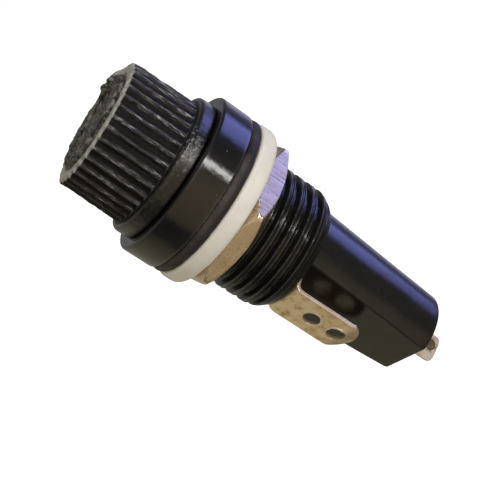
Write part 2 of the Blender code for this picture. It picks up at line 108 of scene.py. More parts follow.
class Nodes:
    """A node tree, with short calls for the nodes that the room and the finishes share."""

    def __init__(self, tree):
        self.tree = tree

    def put(self, socket, value):
        if isinstance(value, bpy.types.NodeSocket):
            self.tree.links.new(value, socket)
        elif value is not None:
            socket.default_value = (*value, 1.0) if socket.type == "RGBA" else value

    def fill(self, node, sockets):
        for name, value in sockets.items():
            self.put(node.inputs[name.replace("_", " ")], value)
        return node

    def node(self, kind, *values, setup=(), **sockets):
        """A node, its first sockets given in order and others by name. None skips a socket."""
        made = self.tree.nodes.new("ShaderNode" + kind)
        for name, value in dict(setup).items():
            setattr(made, name, value)
        for socket, value in zip(made.inputs, values):
            self.put(socket, value)
        return self.fill(made, sockets)

    def math(self, operation, a, b):
        return self.node("Math", a, b, setup={"operation": operation}).outputs[0]

    def plus(self, a, b):
        return self.math("ADD", a, b)

    def times(self, *values):
        return functools.reduce(functools.partial(self.math, "MULTIPLY"), values)

    def spread(self, value, low, high, to_low=0.0, to_high=1.0):
        """Stretches value from low..high to to_low..to_high, and stops at both ends."""
        return self.node("MapRange", value, low, high, to_low, to_high).outputs["Result"]


class Look(Nodes):
    """A node material, and the name of its slot in the record, which is kept but not used."""

    def __init__(self, name, slot=None):
        self.material = bpy.data.materials.new(name)
        self.material.use_nodes = True
        super().__init__(self.material.node_tree)
        self.slot = slot
        self.shader = self.tree.nodes["Principled BSDF"]
        self.place = self.node("TexCoord").outputs["Object"]
        self.z = self.node("SeparateXYZ", self.place).outputs["Z"]

    def set(self, **sockets):
        self.fill(self.shader, sockets)
        return self

    def spot(self, scale, shift):
        return self.node("Mapping", self.place, shift, Scale=scale).outputs["Vector"]

    def noise(self, grain, detail=4.0, roughness=0.55, stretch=(1.0, 1.0, 1.0), shift=0.0):
        """Noise with grain lumps to the millimetre, stretched along the axes."""
        spot = self.spot([grain * s / MM for s in stretch], (shift, shift * 0.7, shift * 1.3))
        return self.node("TexNoise", spot, Scale=1.0, Detail=detail,
                         Roughness=roughness).outputs["Fac"]

    def specks(self, grain, shift, size, fade):
        """1 inside a few round specks, 0 outside, grain of them to the millimetre."""
        spot = self.spot([grain / MM] * 3, (shift, shift, shift))
        far = self.node("TexVoronoi", spot, Scale=1.0).outputs["Distance"]
        return self.spread(far, size, fade, 1.0, 0.0)

    def mask(self, name):
        return self.node("Attribute", setup={"attribute_name": name}).outputs["Fac"]

    def mix(self, share, a, b):
        unused = [None] * 5     # the sockets of Mix for numbers and vectors
        made = self.node("Mix", share, *unused, a, b, setup={"data_type": "RGBA"})
        return made.outputs[2]

    def paint(self, colour, tint, *shares):
        """colour with tint over it, by the product of the shares."""
        return self.mix(self.times(*shares), colour, tint)

    def bump(self, height, depth_mm, strength=1.0, under=None):
        return self.node("Bump", Strength=strength, Distance=depth_mm * MM, Height=height,
                         Normal=under).outputs["Normal"]


# ---- room ----
# degrees round the axis from the camera's side towards the window, and linear colours
WALLS = [(-180, (0.3, 0.29, 0.3)), (-150, (0.38, 0.36, 0.3)), (-118, (0.52, 0.48, 0.34)),
         (-92, (0.44, 0.39, 0.28)), (-80, (0.1, 0.1, 0.09)), (-52, (0.08, 0.075, 0.07)),
         (-48, (0.6, 0.48, 0.32)), (0, (0.86, 0.68, 0.46)), (24, (0.62, 0.5, 0.36)),
         (29, (0.2, 0.18, 0.17)), (78, (0.14, 0.14, 0.17)), (120, (0.14, 0.15, 0.22)),
         (150, (0.22, 0.21, 0.26)), (180, (0.3, 0.29, 0.3))]
PANES = [(79, (0.0, 0.0, 0.0)), (85, (1.35, 1.5, 4.5)), (114, (1.35, 1.5, 4.5)),
         (118, (0.03, 0.04, 0.2)), (138, (0.03, 0.04, 0.18)), (142, (0.5, 0.47, 0.74)),
         (168, (0.4, 0.37, 0.55)), (176, (0.0, 0.0, 0.0))]
PANE_PEAK = 6.0
# 0 straight below and 1 straight above
WINDOW_HEIGHT = [(0.17, 0.0), (0.26, 1.0), (0.43, 1.0), (0.52, 0.0)]
POLES = [(0.1, 0.95), (0.3, 0.0), (0.7, 0.0), (0.92, 0.85)]
POLE_TINT = [(0.0, (0.2, 0.17, 0.13)), (1.0, (0.42, 0.41, 0.4))]
# 0 away from the window and 1 towards it
SOFT = [(0.0, (0.42, 0.36, 0.25)), (0.45, (0.8, 0.75, 0.66)), (1.0, (0.74, 0.71, 0.7))]
WHITE = (1.0, 1.0, 1.0)


def build_room():
    """A room round the part's axis: a window behind and above, a warm wall by the camera."""
    world = bpy.data.worlds.new("room")
    scene.world = world
    world.use_nodes = True
    world.node_tree.nodes.clear()
    room = Nodes(world.node_tree)
    where = room.node("TexCoord").outputs["Generated"]

    def along(direction):
        return room.node("VectorMath", where, direction,
                         setup={"operation": "DOT_PRODUCT"}).outputs["Value"]

    def ramp(value, stops, peak=1.0):
        made = room.node("ValToRGB", value)
        elements = made.color_ramp.elements
        while len(elements) < len(stops):
            elements.new(0.5)
        for element, (position, _) in zip(elements, stops):
            element.position = position
        for element, (_, colour) in zip(elements, stops):
            element.color = (*[c / peak for c in colour], 1.0)
        return made.outputs["Color"]

    def grey(value, stops):
        return ramp(value, [(position, (level,) * 3) for position, level in stops])

    def round_axis(stops, peak=1.0):
        return ramp(turn, [((angle + 180.0) / 360.0, colour) for angle, colour in stops], peak)

    def glow(colour, strength=1.0):
        return room.node("Background", colour, strength).outputs["Background"]

    def either(share, a, b):
        return room.node("MixShader", share, a, b).outputs["Shader"]

    bearing = room.math("ARCTAN2", along(to_window), along(to_camera))
    turn = room.spread(bearing, -math.pi, math.pi)
    height = room.spread(along((0.0, 0.0, 1.0)), -1.0, 1.0)
    window = room.spread(grey(height, WINDOW_HEIGHT), 0.0, 1.0, 0.0, PANE_PEAK)
    sides = room.node("AddShader", glow(round_axis(WALLS)),
                      glow(round_axis(PANES, PANE_PEAK), window)).outputs["Shader"]
    shiny = either(grey(height, POLES), sides, glow(ramp(height, POLE_TINT)))
    # matt surfaces see a plain blend instead of the panes, and the camera sees white
    soft = glow(ramp(room.spread(along(to_window), -1.0, 1.0), SOFT))
    rays = room.node("LightPath").outputs
    seen = either(rays["Is Diffuse Ray"], shiny, soft)
    seen = either(rays["Is Camera Ray"], seen, glow(WHITE))
    room.node("OutputWorld", seen)


build_room()

LAMP_COLOUR = (1.0, 0.98, 0.95)
LAMP_AIM = Vector((0, 0, -4 * MM))


def lamp(name, bearing, size, length, radiance, away, rise):
    """A soft box facing the part. bearing is as in WALLS, and rise the sine of its height."""
    light = bpy.data.lights.new(name, "AREA")
    light.shape = "RECTANGLE"
    light.size = length * MM
    light.size_y = size * MM
    light.energy = radiance * math.pi * size * length * MM * MM
    light.color = LAMP_COLOUR
    made = stand(name, light)
    a = math.radians(bearing)
    level = math.sqrt(1 - rise * rise)
    way = (to_camera * math.cos(a) + to_window * math.sin(a)) * level + Vector((0, 0, rise))
    made.location = LAMP_AIM + way * away * MM
    across = (to_window * math.cos(a) - to_camera * math.sin(a)).normalized()
    back = way.normalized()
    along = across.cross(back)
    made.rotation_mode = "QUATERNION"
    made.rotation_quaternion = Matrix((along, across, back)).transposed().to_quaternion()
    made.visible_camera = False


lamp("key", 34.0, 20.0, 300.0, 34.0, away=300.0, rise=0.09)
lamp("top_fill", 15.0, 200.0, 200.0, 0.7, away=380.0, rise=0.45)

FLOOR_Z = -34.0
FLOOR_REACH = 6.0       # metres each way

floor_mesh = bpy.data.meshes.new("floor")
floor_mesh.from_pydata([(FLOOR_REACH * x, FLOOR_REACH * y, 0)
                        for x, y in ((-1, -1), (1, -1), (1, 1), (-1, 1))], [], [(0, 1, 2, 3)])
floor = stand("floor", floor_mesh)
floor.location.z = FLOOR_Z * MM
floor.visible_glossy = False
floor.visible_diffuse = False
floor.visible_transmission = False
paper = Look("floor_paper").set(Base_Color=(0.86, 0.86, 0.86), Roughness=0.9,
                                Emission_Color=WHITE, Emission_Strength=0.62)
floor_mesh.materials.append(paper.material)


# ---- shapes ----
def around(count):
    return np.arange(count) * TURN / count


def xyz(r, a, z):
    return np.stack([r * np.cos(a), r * np.sin(a), z], -1)


def lump(points, grain, seed):
    """Smooth noise from -1 to 1 at points in millimetres, grain lumps to the millimetre."""
    spots = np.asarray(points, float) * grain + seed * 17.31
    cell = np.floor(spots).astype(np.int64)
    part = spots - cell
    part = part * part * (3 - 2 * part)
    total = np.zeros(spots.shape[:-1])
    for corner in itertools.product((0, 1), repeat=3):
        key = cell + np.array(corner)
        mixed = key[..., 0] * 73856093 ^ key[..., 1] * 19349663 ^ key[..., 2] * 83492791
        mixed = ((mixed ^ (mixed >> 13)) * 1274126177) & 0x7FFFFFFF
        value = (mixed % 65536) / 32767.5 - 1.0
        weight = np.prod(np.where(np.array(corner) == 1, part, 1 - part), axis=-1)
        total += weight * value
    return total


def smooth(value, low, high):
    """0 up to low, 1 from high, and an even rise between."""
    t = np.clip((value - low) / (high - low), 0.0, 1.0)
    return t * t * (3 - 2 * t)


def bent(start, corner, end, steps):
    """Points from start to end along a curve that rounds the corner."""
    return [(1 - t) ** 2 * start + 2 * t * (1 - t) * corner + t * t * end
            for t in (k / steps for k in range(steps + 1))]


def profile(corners, closed, step, bend_steps):
    """Points along (r, z, bend) corners: each corner is rounded by its bend, and each straight
    stretch is cut into pieces no longer than step, or than a fourth value where one is given."""
    same = 1e-6
    count = len(corners)
    spots = [np.array(c[:2], float) for c in corners]
    arcs = []
    for i, (here, corner) in enumerate(zip(spots, corners)):
        if corner[2] <= 0 or (not closed and i in (0, count - 1)):
            arcs.append([here])
            continue
        sides = spots[i - 1] - here, spots[(i + 1) % count] - here
        start, end = (here + s * min(corner[2] / np.linalg.norm(s), 0.5) for s in sides)
        arcs.append(bent(start, here, end, bend_steps))
    out = []
    for i, row in enumerate(arcs):
        out.extend(row)
        if i == count - 1 and not closed:
            break
        start, end = row[-1], arcs[(i + 1) % count][0]
        pace = corners[i][3] if len(corners[i]) > 3 else step
        pieces = max(1, math.ceil(np.linalg.norm(end - start) / pace))
        out.extend(start + (end - start) * k / pieces for k in range(1, pieces))
    kept = [out[0]]
    for spot in out[1:]:
        if np.linalg.norm(spot - kept[-1]) > same:
            kept.append(spot)
    if closed and np.linalg.norm(kept[0] - kept[-1]) < same:
        kept.pop()
    return np.array(kept)


def piece(name, rings, body, finish, nodes=(), loop=False, masks=None, sharp=None):
    """One closed mesh through rings of points: rows by columns by (x, y, z), in millimetres.
    loop joins the last ring to the first; otherwise both ends are closed with a fan."""
    rings = np.asarray(rings, float)
    rows, columns = rings.shape[:2]
    points = rings.reshape(-1, 3)
    i = np.arange(rows if loop else rows - 1)[:, None]
    j = np.arange(columns)[None, :]
    nxt = (j + 1) % columns
    below = (i + 1) % rows
    quads = np.stack([i * columns + j, i * columns + nxt, below * columns + nxt,
                      below * columns + j], -1).reshape(-1, 4)
    fans = []
    if not loop:
        for start, end in ((0, False), ((rows - 1) * columns, True)):
            centre = len(points)
            points = np.vstack([points, points[start:start + columns].mean(0)])
            for k in range(columns):
                a, b = start + k, start + (k + 1) % columns
                fans.append((a, b, centre) if end else (b, a, centre))
    # six times the volume, which is negative where the faces look inwards
    volume = 0.0
    for part in (quads[:, (0, 1, 2)], quads[:, (0, 2, 3)], np.array(fans or [(0, 0, 0)])):
        p, q, r = (points[part[:, k]] for k in range(3))
        volume += np.einsum("ij,ij->i", p, np.cross(q, r)).sum()
    faces = quads.tolist() + [list(f) for f in fans]
    if volume < 0:
        faces = [f[::-1] for f in faces]
    mesh = bpy.data.meshes.new(name)
    mesh.from_pydata((points * MM).tolist(), [], faces)
    for label, values in (masks or {}).items():
        values = np.asarray(values, np.float32).reshape(-1)
        values = np.concatenate([values, np.zeros(len(points) - len(values), np.float32)])
        mesh.attributes.new(label, "FLOAT", "POINT").data.foreach_set("value", values)
    mesh.shade_smooth()
    if sharp:
        mesh.set_sharp_from_angle(angle=math.radians(sharp))
    made = stand(name, mesh)
    mesh.materials.append(finish.material)
    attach(made, body)
    if nodes:
        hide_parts(*nodes)
    return made


def turned(name, corners, segments, body, finish, nodes=(), shape=None, masks=None,
           sharp=None, loop=True, step=0.5, bend_steps=4):
    """Turns a profile about Z. shape(r, angle, z) gives new r and z for the grid."""
    outline = profile(corners, loop, step, bend_steps)
    r, a = np.meshgrid(outline[:, 0], around(segments), indexing="ij")
    z = np.repeat(outline[:, 1][:, None], segments, 1)
    if shape:
        r, z = shape(r, a, z)
    masks = masks and masks(r, a, z)
    return piece(name, xyz(r, a, z), body, finish, nodes, loop, masks, sharp)


def helix_offset(angle, z, phase, phase_z, pitch):
    """Distance along Z from the nearest crest of a right-hand thread."""
    turns = (z - phase_z) / pitch - (angle - math.radians(phase)) / TURN
    return np.abs(turns - np.round(turns)) * pitch


def carve(target, cutters, bevel=0.0, sharp=40.0):
    """Cuts the cutters out of target, rounds the new edges and keeps the plain mesh."""
    for cutter in cutters:
        step = target.modifiers.new("cut", "BOOLEAN")
        step.operation = "DIFFERENCE"
        step.solver = "EXACT"
        step.object = cutter
    if bevel:
        step = target.modifiers.new("edge", "BEVEL")
        step.width = bevel * MM
        step.segments = 2
        step.limit_method = "ANGLE"
        step.angle_limit = math.radians(50.0)
    graph = bpy.context.evaluated_depsgraph_get()
    mesh = bpy.data.meshes.new_from_object(target.evaluated_get(graph))
    old = target.data
    target.modifiers.clear()
    target.data = mesh
    mesh.name = target.name
    clean = bmesh.new()
    clean.from_mesh(mesh)
    bmesh.ops.dissolve_degenerate(clean, edges=clean.edges, dist=SHORTEST_EDGE * MM)
    clean.to_mesh(mesh)
    clean.free()
    bpy.data.meshes.remove(old)
    for cutter in cutters:
        bpy.data.objects.remove(cutter)
    mesh.shade_smooth()
    mesh.set_sharp_from_angle(angle=math.radians(sharp))


def solid(points, faces):
    mesh = bpy.data.meshes.new("cutter")
    mesh.from_pydata([p * MM for p in points], [], faces)
    return stand("cutter", mesh)


def rod(start, end, radius, segments=48):
    """A round cutter between two points in millimetres."""
    start, end = Vector(start), Vector(end)
    side = (end - start).to_track_quat("Z", "Y").to_matrix()
    points = [spot + side @ Vector((radius * math.cos(a), radius * math.sin(a), 0))
              for spot in (start, end) for a in around(segments)]
    faces = [(k, n, segments + n, segments + k)
             for k, n in ((k, (k + 1) % segments) for k in range(segments))]
    faces += [tuple(range(segments))[::-1], tuple(range(segments, 2 * segments))]
    return solid(points, faces)


def block(low, high, turn):
    """A box cutter between two corners in millimetres, turned about Z."""
    spin = Matrix.Rotation(math.radians(turn), 3, "Z")
    return solid([spin @ Vector(p) for p in itertools.product(*zip(low, high))],
                 [(0, 1, 3, 2), (4, 6, 7, 5), (0, 4, 5, 1), (2, 3, 7, 6), (0, 2, 6, 4),
                  (1, 5, 7, 3)])


# ---- finishes ----
THREAD_EDGE = (0.4 * MM, 1.0 * MM)      # Z over which the thread's duller finish ends


def phenolic(name, shine, dull, thread_dull=0.0):
    look = Look(name, "black_phenolic")
    broad = look.noise(0.35, 3.0)
    fine = look.noise(2.6, 6.0, 0.65)
    scratch = look.noise(1.0, 5.0, 0.7, stretch=(5.0, 5.0, 0.35), shift=3.1)
    patch = look.spread(look.noise(0.5, 2.0, shift=9.0), 0.52, 0.62)
    dust = look.times(look.specks(1.7, 4.0, 0.045, 0.1), patch)
    grime = look.spread(look.times(fine, broad), 0.22, 0.42)
    colour = look.mix(grime, (0.0062, 0.006, 0.006), (0.0105, 0.0098, 0.0088))
    colour = look.paint(colour, (0.3, 0.28, 0.25), dust, 0.55)
    rough = look.spread(scratch, 0.35, 0.75, shine, dull)
    gloss = 0.5
    if thread_dull:
        crest = look.mask("crest")
        rough = look.plus(rough, look.spread(look.z, *THREAD_EDGE, thread_dull, 0.0))
        # light grey along the crest mask: wear and a painted highlight on the thread's crest
        # edges, and the same grey on the flange's rear lip
        wear_and_highlight = look.spread(look.noise(3.0, 6.0, 0.7, shift=2.0), 0.35, 0.7)
        colour = look.paint(colour, (0.062, 0.061, 0.06), crest, wear_and_highlight, 0.8)
        gloss = look.plus(look.spread(look.z, *THREAD_EDGE, 0.17, 0.5), look.times(crest, 0.35))
    return look.set(
        Base_Color=colour, Roughness=look.plus(rough, look.times(dust, 0.3)),
        Specular_IOR_Level=gloss, Normal=look.bump(broad, 0.05, under=look.bump(fine, 0.006)))


def worn_cap():
    look = Look("phenolic_cap", "black_phenolic")
    crest, face, rim, collar, gloss = map(look.mask, ("crest", "face", "rim", "collar", "gloss"))
    grit = look.noise(3.6, 8.0, 0.72)
    streak = look.noise(3.0, 6.0, 0.72, stretch=(2.2, 2.2, 0.45), shift=2.0)
    hair = look.noise(3.0, 4.0, 0.6, stretch=(2.6, 2.6, 0.18), shift=19.0)
    spark = look.noise(5.4, 6.0, 0.78, stretch=(1.3, 1.3, 0.2), shift=7.0)
    area = look.spread(look.noise(0.42, 3.0, 0.5, shift=52.0), 0.4, 0.62, 0.15, 1.0)
    spark = look.times(look.spread(spark, 0.53, 0.6), area)
    colour = look.mix(look.spread(grit, 0.35, 0.7), (0.0042, 0.004, 0.0046),
                      (0.0105, 0.0095, 0.01))
    # the ribs' crests: dull wear, fine lines and bright flecks that are painted glints; all are
    # faint on the side away from the lamps, which is painted shade
    wear_and_highlight = look.spread(streak, 0.4, 0.62)
    colour = look.paint(colour, (0.03, 0.029, 0.031), crest, wear_and_highlight, 0.8)
    hair = look.spread(hair, 0.56, 0.62, 0.0, 0.5)
    colour = look.paint(colour, (0.13, 0.125, 0.125), crest, hair)
    painted_glints = look.times(crest, spark, 0.85)
    colour = look.paint(colour, (0.62, 0.61, 0.61), painted_glints)
    # the end: chalky turned rings inside a bright rim
    ring = look.node("TexWave", look.place, Scale=700.0, Distortion=14.0, Detail=5.0,
                     Detail_Scale=0.7, Detail_Roughness=0.7,
                     setup={"wave_type": "RINGS", "rings_direction": "Z"}).outputs["Fac"]
    chalk = look.times(look.spread(look.noise(1.5, 6.0, 0.7, shift=5.0), 0.36, 0.62),
                       look.spread(ring, 0.25, 0.8, 0.25, 1.0))
    colour = look.paint(colour, (0.21, 0.205, 0.185), face, chalk)
    colour = look.paint(colour, (0.31, 0.305, 0.285), rim, look.spread(grit, 0.3, 0.52, 0.35, 1.0))
    # light scratches on the collar, shown only in the key lamp's highlight band that the collar
    # mask holds: painted highlight over real scratches
    nick = look.spread(look.noise(2.4, 6.0, 0.78, shift=11.0), 0.5, 0.62)
    colour = look.paint(colour, (0.33, 0.315, 0.305), nick, collar, 0.62)
    rough = look.spread(streak, 0.3, 0.7, 0.3, 0.5)
    rough = look.math("SUBTRACT", rough, look.times(painted_glints, 0.25))
    rough = look.plus(rough, look.times(face, 0.16))
    rough = look.math("SUBTRACT", rough, look.times(gloss, 0.2))
    grit = look.times(grit, look.spread(gloss, 0.0, 1.0, 1.0, 0.12))
    streak = look.times(streak, look.spread(gloss, 0.0, 1.0, 1.0, 0.25))
    shine = look.plus(look.plus(look.times(gloss, 0.32), look.times(crest, 0.34)), 0.14)
    small = look.bump(look.times(ring, face), 0.05, under=look.bump(grit, 0.05, 0.8))
    look.shader.inputs["Specular IOR Level"].default_value = 0.3
    return look.set(
        Base_Color=colour, Roughness=rough, Specular_IOR_Level=shine,
        Normal=look.bump(streak, 0.09, under=small))


def rubber():
    look = Look("gasket_rubber", "black_rubber")
    grain = look.noise(5.0, 8.0, 0.7)
    blotch = look.noise(0.8, 4.0, 0.6, shift=3.0)
    patch = look.spread(look.noise(0.9, 2.0, shift=6.0), 0.5, 0.6)
    speck = look.times(look.specks(2.3, 1.0, 0.05, 0.13), patch)
    colour = look.mix(look.spread(blotch, 0.35, 0.7), (0.0075, 0.0068, 0.0072),
                      (0.019, 0.0155, 0.0155))
    colour = look.paint(colour, (0.042, 0.033, 0.031), look.mask("dusty"),
                        look.spread(blotch, 0.3, 0.62))
    colour = look.paint(colour, (0.3, 0.26, 0.24), speck, 0.6)
    colour = look.paint(colour, (0.15, 0.128, 0.115), look.mask("rim"),
                        look.spread(grain, 0.42, 0.6), 0.8)
    return look.set(
        Base_Color=colour, Roughness=look.spread(grain, 0.3, 0.7, 0.48, 0.72),
        Specular_IOR_Level=0.4, Normal=look.bump(grain, 0.05, 0.9))


def nylon():
    look = Look("washer_nylon", "white_nylon")
    cloud = look.spread(look.noise(0.5, 3.0), 0.3, 0.7)
    grain = look.noise(4.0, 6.0, 0.6)
    colour = look.mix(cloud, (0.61, 0.592, 0.555), (0.68, 0.665, 0.63))
    dirt = look.spread(look.noise(1.4, 6.0, 0.75, shift=8.0), 0.62, 0.78)
    colour = look.paint(colour, (0.42, 0.36, 0.28), dirt, 0.35)
    return look.set(
        Base_Color=colour, Roughness=look.spread(grain, 0.3, 0.7, 0.4, 0.55),
        Subsurface_Weight=0.35, Subsurface_Scale=0.0012, Specular_IOR_Level=0.3,
        Subsurface_Radius=(1.0, 0.85, 0.7), Normal=look.bump(grain, 0.015, 0.6))


def plated(name, slot, light, dark, shine, dull, lines=(7.0, 7.0, 0.4), depth=0.012):
    """Bright plating over brass, with drawn or turned lines."""
    look = Look(name, slot)
    mark = look.noise(1.0, 5.0, 0.65, stretch=lines, shift=1.0)
    cloud = look.spread(look.noise(0.7, 4.0, 0.6, shift=5.0), 0.3, 0.7)
    return look.set(
        Base_Color=look.mix(cloud, light, dark), Metallic=1.0,
        Roughness=look.spread(mark, 0.3, 0.7, shine, dull), Normal=look.bump(mark, depth, 0.8))


def nut_finish():
    """Plating with marks along the axis on every second side, and round it on the others."""
    look = Look("nut_plating", "nickel_plate")
    axial = look.noise(1.0, 5.0, 0.65, stretch=(5.5, 5.5, 0.24), shift=1.0)
    fine = look.noise(1.0, 3.0, 0.7, stretch=(0.16, 0.16, 6.5), shift=4.0)
    grit = look.noise(4.0, 6.0, 0.72, shift=2.0)
    fine = look.plus(look.times(fine, 0.6), look.times(grit, 0.4))
    axial = look.plus(look.times(axial, 0.8), look.times(grit, 0.2))
    marks = look.node("Mix", look.mask("lay"), None, fine, axial).outputs[0]
    cloud = look.spread(look.noise(0.6, 4.0, 0.6, shift=6.0), 0.3, 0.7)
    colour = look.mix(cloud, (0.8, 0.68, 0.51), (0.66, 0.54, 0.39))
    pit = look.spread(look.noise(1.3, 7.0, 0.75, shift=9.0), 0.6, 0.7)
    colour = look.paint(colour, (0.3, 0.22, 0.14), pit, 0.6)
    colour = look.paint(colour, (0.36, 0.27, 0.18), look.spread(marks, 0.34, 0.47, 0.7, 0.0))
    rough = look.plus(look.spread(marks, 0.3, 0.7, 0.22, 0.36), look.times(pit, 0.2))
    return look.set(
        Base_Color=colour, Metallic=0.95, Roughness=rough, Normal=look.bump(marks, 0.035))


def tarnished():
    look = Look("tarnished_brass", "tinned_brass")
    stain = look.noise(0.9, 8.0, 0.68)
    spots = look.noise(2.6, 6.0, 0.7, shift=4.0)
    scratch = look.noise(1.0, 4.0, 0.7, stretch=(6.0, 6.0, 0.9), shift=2.0)
    colour = look.mix(look.spread(stain, 0.4, 0.64), (0.9, 0.76, 0.54), (0.72, 0.55, 0.33))
    brown = look.times(look.spread(stain, 0.5, 0.62), look.spread(spots, 0.36, 0.56))
    near_root = look.spread(look.z, -12.9 * MM, -11.2 * MM, 0.25, 1.0)
    colour = look.paint(colour, (0.36, 0.21, 0.115), brown, near_root)
    # the bent tip is painted darker: painted shade on the tip
    shaded_tip = look.spread(look.z, -17.9 * MM, -17.0 * MM, 0.75, 0.0)
    colour = look.paint(colour, (0.34, 0.26, 0.19), shaded_tip,
                        look.spread(stain, 0.3, 0.6, 0.35, 1.0))
    fleck = look.spread(look.noise(4.0, 5.0, 0.7, shift=13.0), 0.6, 0.68)
    colour = look.paint(colour, (0.42, 0.28, 0.15), fleck, 0.45)
    # the strip's rounded edges and the hole burrs are painted light through the edge mask: painted
    # highlight
    colour = look.paint(colour, (0.8, 0.72, 0.62), look.mask("edge"), 0.5)
    rough = look.plus(look.spread(spots, 0.3, 0.7, 0.34, 0.52), look.times(brown, 0.25))
    small = look.bump(spots, 0.02, 0.8)
    return look.set(
        Base_Color=colour, Metallic=0.8, Roughness=rough,
        Normal=look.bump(scratch, 0.012, 0.6, under=small))


def tinned():
    look = Look("tin_plate", "tin_plate")
    cloud = look.noise(1.2, 6.0, 0.6)
    grain = look.noise(3.0, 6.0, 0.65, shift=3.0)
    eye_shade = look.mask("eye")
    colour = look.mix(look.spread(cloud, 0.35, 0.65), (0.86, 0.82, 0.75), (0.74, 0.68, 0.58))
    near_barrel = look.spread(look.z, -27.7 * MM, -26.0 * MM)
    colour = look.paint(colour, (0.36, 0.26, 0.16), near_barrel,
                        look.spread(cloud, 0.35, 0.6, 0.2, 0.8))
    # dark brown in and round the eye through the eye mask: painted shade
    colour = look.paint(colour, (0.085, 0.052, 0.024), eye_shade,
                        look.spread(grain, 0.25, 0.6, 0.55, 1.0))
    return look.set(
        Base_Color=colour, Metallic=look.spread(eye_shade, 0.0, 1.0, 0.85, 0.0),
        Roughness=look.spread(grain, 0.3, 0.7, 0.34, 0.5), Normal=look.bump(grain, 0.015, 0.7))


def clear_glass():
    look = Look("fuse_glass", "fuse_glass")
    smear = look.noise(0.6, 4.0)
    return look.set(
        Base_Color=look.mix(smear, (0.96, 0.985, 0.975), (0.92, 0.95, 0.94)),
        Roughness=look.spread(smear, 0.3, 0.7, 0.01, 0.06), IOR=1.5, Transmission_Weight=1.0)


moulding_finish = phenolic("phenolic_moulding", 0.15, 0.24, thread_dull=0.05)
barrel_finish = phenolic("phenolic_barrel", 0.19, 0.28)
cap_finish = worn_cap()
gasket_finish = rubber()
washer_finish = nylon()
nut_plating = nut_finish()
side_finish = tarnished()
end_finish = tinned()
nickel = plated("nickel_plate", "nickel_plate", (0.8, 0.76, 0.69), (0.7, 0.65, 0.57),
                0.16, 0.3, lines=(0.3, 0.3, 6.0))
fuse_plating = plated("fuse_cap_plate", "nickel_plate", (0.85, 0.84, 0.81), (0.76, 0.74, 0.7),
                      0.12, 0.24, lines=(0.3, 0.3, 5.0), depth=0.006)
spring_finish = plated("spring_wire", "spring_steel", (0.66, 0.65, 0.63), (0.52, 0.51, 0.49),
                       0.22, 0.34, lines=(2.0, 2.0, 2.0), depth=0.004)
wire_finish = plated("fuse_wire", "fuse_wire", (0.8, 0.78, 0.74), (0.68, 0.66, 0.62),
                     0.25, 0.35)
glass = clear_glass()

# ---- moulded holder ----
FLANGE_R = 8.2
FLANGE_REAR = gasket_high + 0.02
THREAD_R = 6.35
THREAD_PITCH = 1.27
THREAD_DEPTH = 0.55
THREAD_CREST = 0.48
THREAD_BASE = 1.05
THREAD_HOLLOW = 0.045       # sink along the middle of each moulded crest
THREAD_END = -10.02


def thread_offset(a, z):
    return helix_offset(a, z, 52.0, -4.83, THREAD_PITCH)


def thread_radius(angle, z, gap=0.0):
    off = thread_offset(angle, z)
    t = np.clip((off - THREAD_CREST / 2 - gap) / ((THREAD_BASE - THREAD_CREST) / 2), 0, 1)
    t = 0.75 * t + 0.25 * t * t * (3 - 2 * t)
    sink = (1 - smooth(off, 0.06, THREAD_CREST / 2 - 0.03)) * (gap == 0)
    return THREAD_R + gap - THREAD_DEPTH * t - THREAD_HOLLOW * sink


def moulding_masks(r, a, z):
    # crest: the thread's crest edges, painted light grey as wear and a painted highlight, and the
    # flange's rear lip
    line = 1 - smooth(np.abs(thread_offset(a, z) - THREAD_CREST / 2 + 0.02), 0.02, 0.085)
    lip = smooth(r, 8.0, 8.12) * (1 - smooth(z - FLANGE_REAR, 0.06, 0.2))
    return {"crest": line * (r > 6.1) * (r < 6.6) * (z < 0) + 1.2 * lip}


def moulding_shape(r, a, z):
    threaded = (r > 5.5) & (r < 6.6) & (z < FLANGE_REAR - 0.05)
    ridge = thread_radius(a, z)
    cone = np.interp(z, [THREAD_END, THREAD_END + 0.75, THREAD_END + 1.6, 5.0],
                     [5.5, 6.05, 6.4, 6.6])
    blend = 0.05
    gap = np.clip(ridge - cone, -4 * blend, 4 * blend)
    soft = np.where(ridge < cone - 4 * blend, ridge,
                    np.minimum(ridge, cone) - blend * np.exp(-np.abs(gap) / blend) * 0.5)
    spot = xyz(r, a, z)
    r = np.where(threaded, soft + 0.012 * lump(spot, 2.0, 3), r)
    face = (r > 6.7) & (z > 1.3)
    return r + np.where(face, 0.01 * lump(spot, 0.45, 5), 0.0), z


turned("holder_moulding", [
    (5.42, body_high, 0.22), (FLANGE_R, body_high, 0.3), (FLANGE_R, FLANGE_REAR, 0.16),
    (6.0, FLANGE_REAR, 0.05, 0.042), (5.9, THREAD_END + 0.06, 0.0), (5.42, THREAD_END, 0.0),
    (3.0, THREAD_END, 0.0), (3.0, THREAD_END + 0.42, 0.0), (4.78, THREAD_END + 0.42, 0.0, 2.0),
    (4.78, 3.46, 0.0), (5.42, 3.46, 0.0)], 216, "holder", moulding_finish, ("holder_body",),
    shape=moulding_shape, masks=moulding_masks, sharp=42, step=0.3)

BARREL_R = (5.21, 4.18)
BARREL_TOP = THREAD_END + 0.07
BARREL_BORE_R = 2.72
BARREL_FLOOR = body_low + 1.6
BARREL_CORNER = 0.14        # along the flat's two sides
BARREL_ROUND = 0.45         # round the end
BARREL_SKEW = 0.14
BARREL_LEAN = (to_camera * 0.5 - to_window * 0.85).normalized()
FLAT_Y = 3.1


